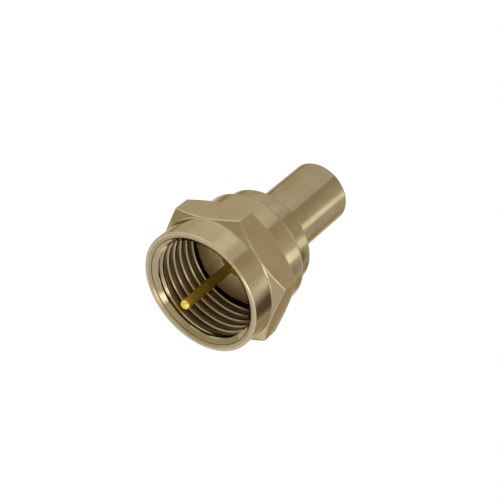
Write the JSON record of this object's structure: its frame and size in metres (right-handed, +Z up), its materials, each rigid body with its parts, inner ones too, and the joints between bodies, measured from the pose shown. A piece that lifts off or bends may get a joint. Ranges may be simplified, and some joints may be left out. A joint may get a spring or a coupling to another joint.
{
  "type": "f connector",
  "caption": "Crimp type coaxial plug with a free-spinning hexagon coupling nut, a grounded flange, a gold centre pin and a thin crimp tube.",
  "frame": {"origin": "on the axis, on the post's flange face, which is the plane that the socket's end seats on", "axes": "+X along the axis out of the nut's mouth, +Z up, square to one pair of the nut's flats"},
  "size_m": [0.0189, 0.0128, 0.011],
  "materials": {
    "nickel_nut": "nickel plated, satin polished",
    "nickel_body": "nickel plated, satin polished",
    "nickel_post": "nickel plated, satin turned",
    "insulator": "matt",
    "gold_pin": "gold plated, polished"
  },
  "bodies": {
    "body": {"crimp_body": "nickel_body", "ground_post": "nickel_post", "insulator": "insulator", "center_pin": "gold_pin"},
    "nut": {"coupling_nut": "nickel_nut"}
  },
  "joints": [
    {"name": "nut_spin", "type": "hinge", "parent": "body", "child": "nut", "pos_m": [0, 0, 0], "axis": [1, 0, 0], "continuous": true}
  ]
}
